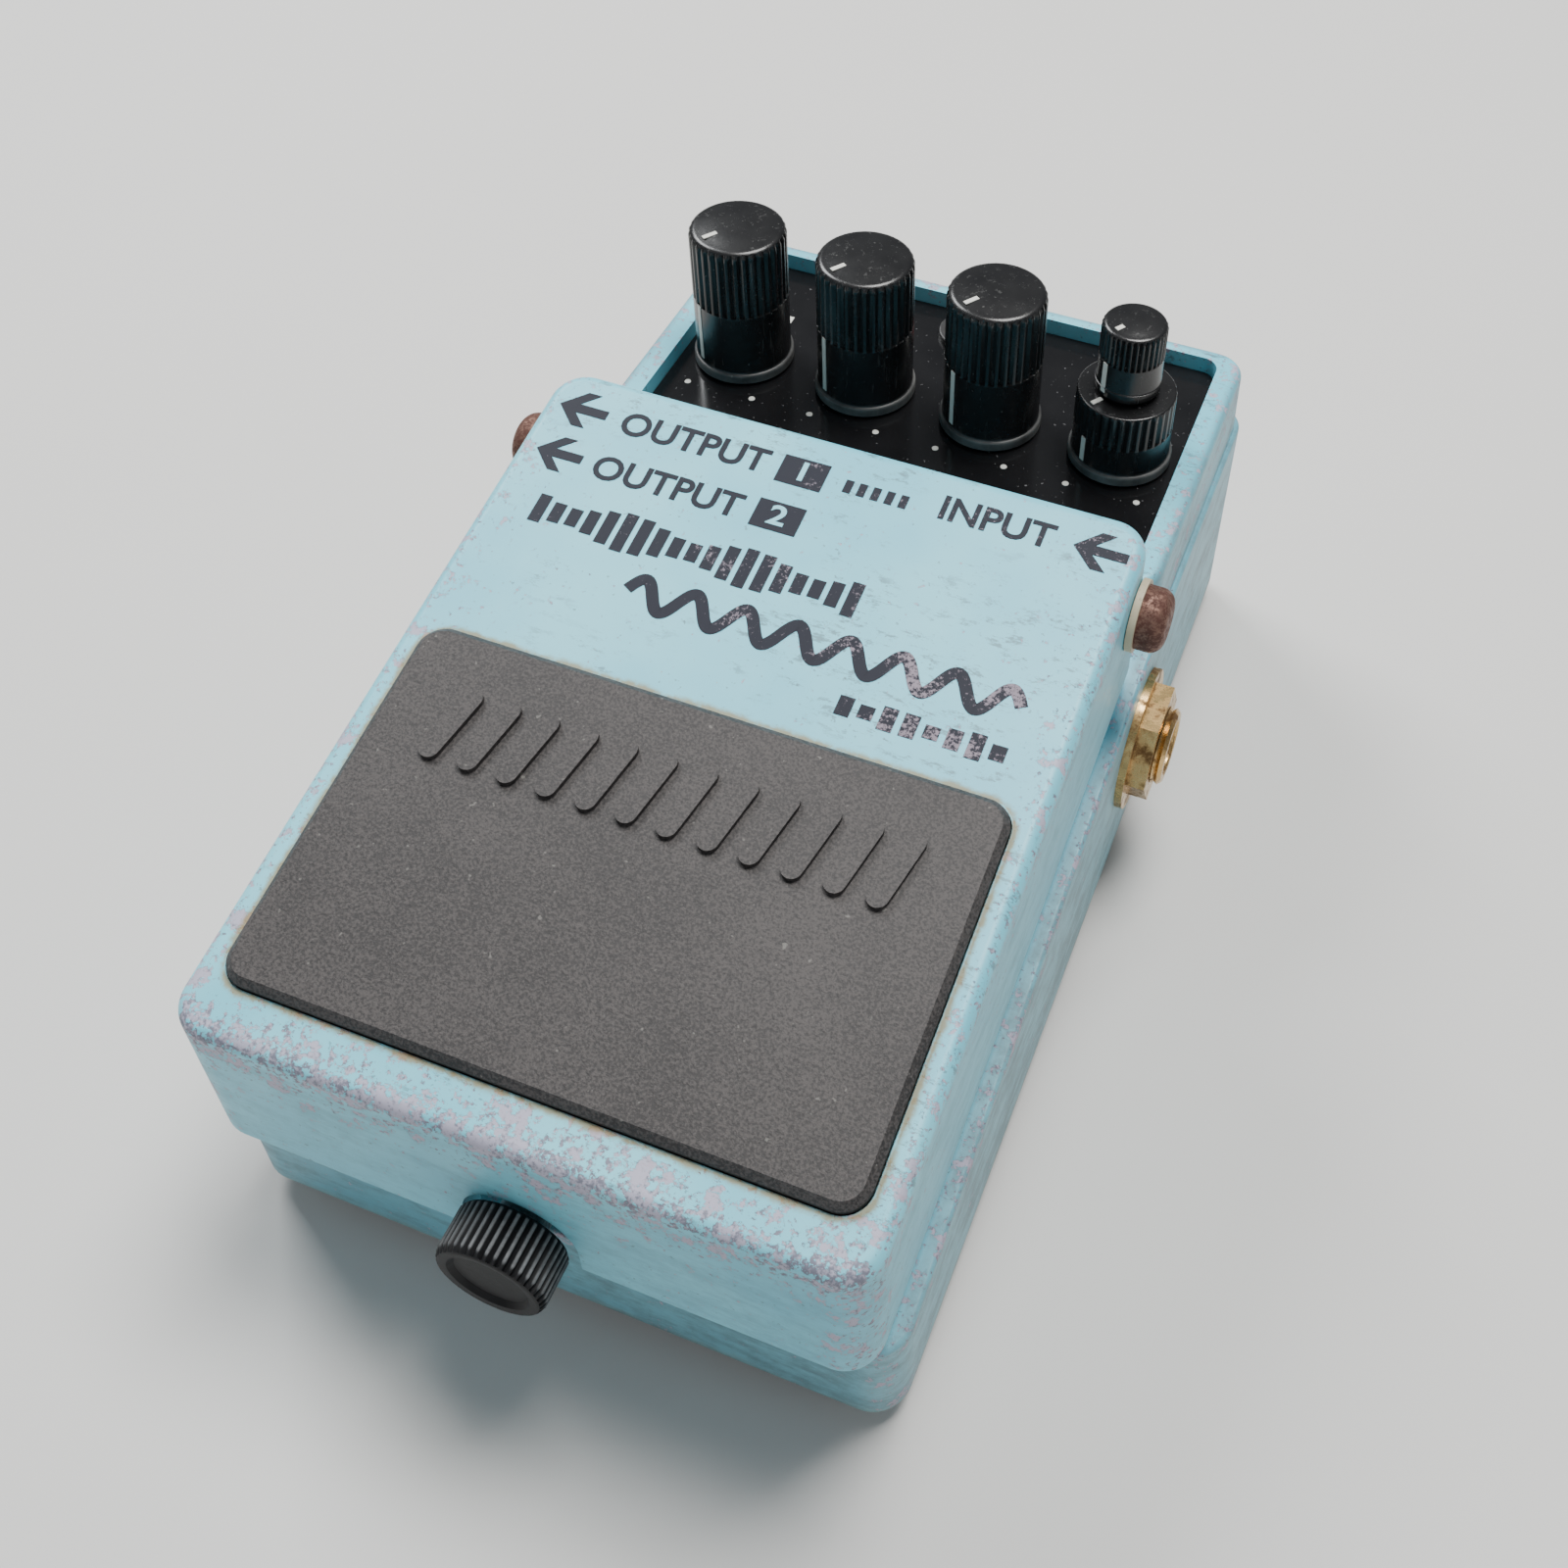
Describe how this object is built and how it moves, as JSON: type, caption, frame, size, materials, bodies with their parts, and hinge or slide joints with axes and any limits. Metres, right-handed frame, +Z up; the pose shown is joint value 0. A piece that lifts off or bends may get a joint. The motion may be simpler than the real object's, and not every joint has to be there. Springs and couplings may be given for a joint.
{
  "type": "guitar effects pedal",
  "caption": "Compact stomp pedal: sloping treadle with rubber pad over a die-cast case, tall fluted knobs on a recessed rear panel, thumbscrew in front, phone jacks in the sides",
  "frame": {"origin": "on the underside of the rubber base mat, near the middle of the case", "axes": "+X the player's right (input jack), +Y the rear (knobs), +Z up"},
  "size_m": [0.0818, 0.1338, 0.0594],
  "materials": {
    "case_paint": "satin",
    "treadle_paint": "satin",
    "pad_rubber": "matte",
    "mat_rubber": "matte",
    "plate_steel": "satin",
    "screw_steel": "satin",
    "panel_black": "gloss",
    "lamp_red": "gloss",
    "bezel_black": "gloss",
    "rusty_steel": "worn",
    "nylon": "satin",
    "spring_steel": "satin",
    "switch_plastic": "matte",
    "button_plastic": "satin",
    "knob_plastic": "satin",
    "shaft_aluminium": "satin",
    "pot_zinc": "satin",
    "screw_plastic": "worn",
    "insert_brass": "satin",
    "jack_plastic": "matte",
    "jack_nickel": "tarnished",
    "board_green": "satin",
    "battery_jacket": "gloss",
    "snap_vinyl": "satin"
  },
  "bodies": {
    "case": {"base_mat": "mat_rubber", "battery": "battery_jacket", "battery_snap": "snap_vinyl", "bottom_plate": "plate_steel", "bottom_screw_1": "screw_steel", "bottom_screw_2": "screw_steel", "bottom_screw_3": "screw_steel", "bottom_screw_4": "screw_steel", "case_shell": "case_paint", "control_board": "board_green", "control_panel": "panel_black", "hinge_bush_left": "nylon", "hinge_bush_right": "nylon", "hinge_pin_left": "rusty_steel", "hinge_pin_right": "rusty_steel", "input_jack_body": "jack_plastic", "input_jack_bushing": "jack_nickel", "input_jack_nut": "jack_nickel", "input_jack_washer": "jack_nickel", "lamp_bezel": "bezel_black", "lamp_lens": "lamp_red", "main_board": "board_green", "output_a_jack_body": "jack_plastic", "output_a_jack_bushing": "jack_nickel", "output_a_jack_nut": "jack_nickel", "output_a_jack_washer": "jack_nickel", "output_b_jack_body": "jack_plastic", "output_b_jack_bushing": "jack_nickel", "output_b_jack_nut": "jack_nickel", "output_b_jack_washer": "jack_nickel", "pot_1": "pot_zinc", "pot_2": "pot_zinc", "pot_3": "pot_zinc", "pot_4": "pot_zinc", "pot_nut_1": "pot_zinc", "pot_nut_2": "pot_zinc", "pot_nut_3": "pot_zinc", "pot_nut_4": "pot_zinc", "power_jack": "jack_plastic", "screw_insert": "insert_brass", "switch_body": "switch_plastic", "treadle_spring": "spring_steel"},
    "treadle": {"treadle_shell": "treadle_paint", "treadle_pad": "pad_rubber", "plunger_tip": "pad_rubber"},
    "knob_1": {"knob_1": "knob_plastic", "shaft_1": "shaft_aluminium"},
    "knob_2": {"knob_2": "knob_plastic", "shaft_2": "shaft_aluminium"},
    "knob_3": {"knob_3": "knob_plastic", "shaft_3": "shaft_aluminium"},
    "knob_4_lower": {"knob_4_ring": "knob_plastic", "shaft_4_outer": "shaft_aluminium"},
    "knob_4_upper": {"knob_4_top": "knob_plastic", "shaft_4_inner": "shaft_aluminium"},
    "thumbscrew": {"thumbscrew_head": "screw_plastic", "thumbscrew_shank": "screw_steel"},
    "button": {"switch_button": "button_plastic"}
  },
  "joints": [
    {"name": "treadle_hinge", "type": "hinge", "parent": "case", "child": "treadle", "pos_m": [0, 0.012, 0.045], "axis": [1, 0, 0], "range_deg": [-60, 1], "stiffness_Nm_per_rad": 0.9, "springref_deg": -6.88},
    {"name": "knob_1_turn", "type": "hinge", "parent": "case", "child": "knob_1", "pos_m": [-0.0249, 0.0426, 0.0388], "axis": [0, 0, 1], "range_deg": [-300, 0]},
    {"name": "knob_2_turn", "type": "hinge", "parent": "case", "child": "knob_2", "pos_m": [-0.0083, 0.0426, 0.0388], "axis": [0, 0, 1], "range_deg": [-300, 0]},
    {"name": "knob_3_turn", "type": "hinge", "parent": "case", "child": "knob_3", "pos_m": [0.0083, 0.0426, 0.0388], "axis": [0, 0, 1], "range_deg": [-300, 0]},
    {"name": "knob_4_lower_turn", "type": "hinge", "parent": "case", "child": "knob_4_lower", "pos_m": [0.0249, 0.0426, 0.0388], "axis": [0, 0, 1], "range_deg": [-300, 0]},
    {"name": "knob_4_upper_turn", "type": "hinge", "parent": "case", "child": "knob_4_upper", "pos_m": [0.0249, 0.0426, 0.0388], "axis": [0, 0, 1], "range_deg": [-300, 0]},
    {"name": "thumbscrew_turn", "type": "hinge", "parent": "case", "child": "thumbscrew", "pos_m": [0, -0.0653, 0.0236], "axis": [0, -1, 0], "continuous": true},
    {"name": "button_press", "type": "slide", "parent": "case", "child": "button", "axis": [0, 0.1819, -0.9833], "range_m": [0, 0.0011], "stiffness_N_per_m": 400}
  ]
}
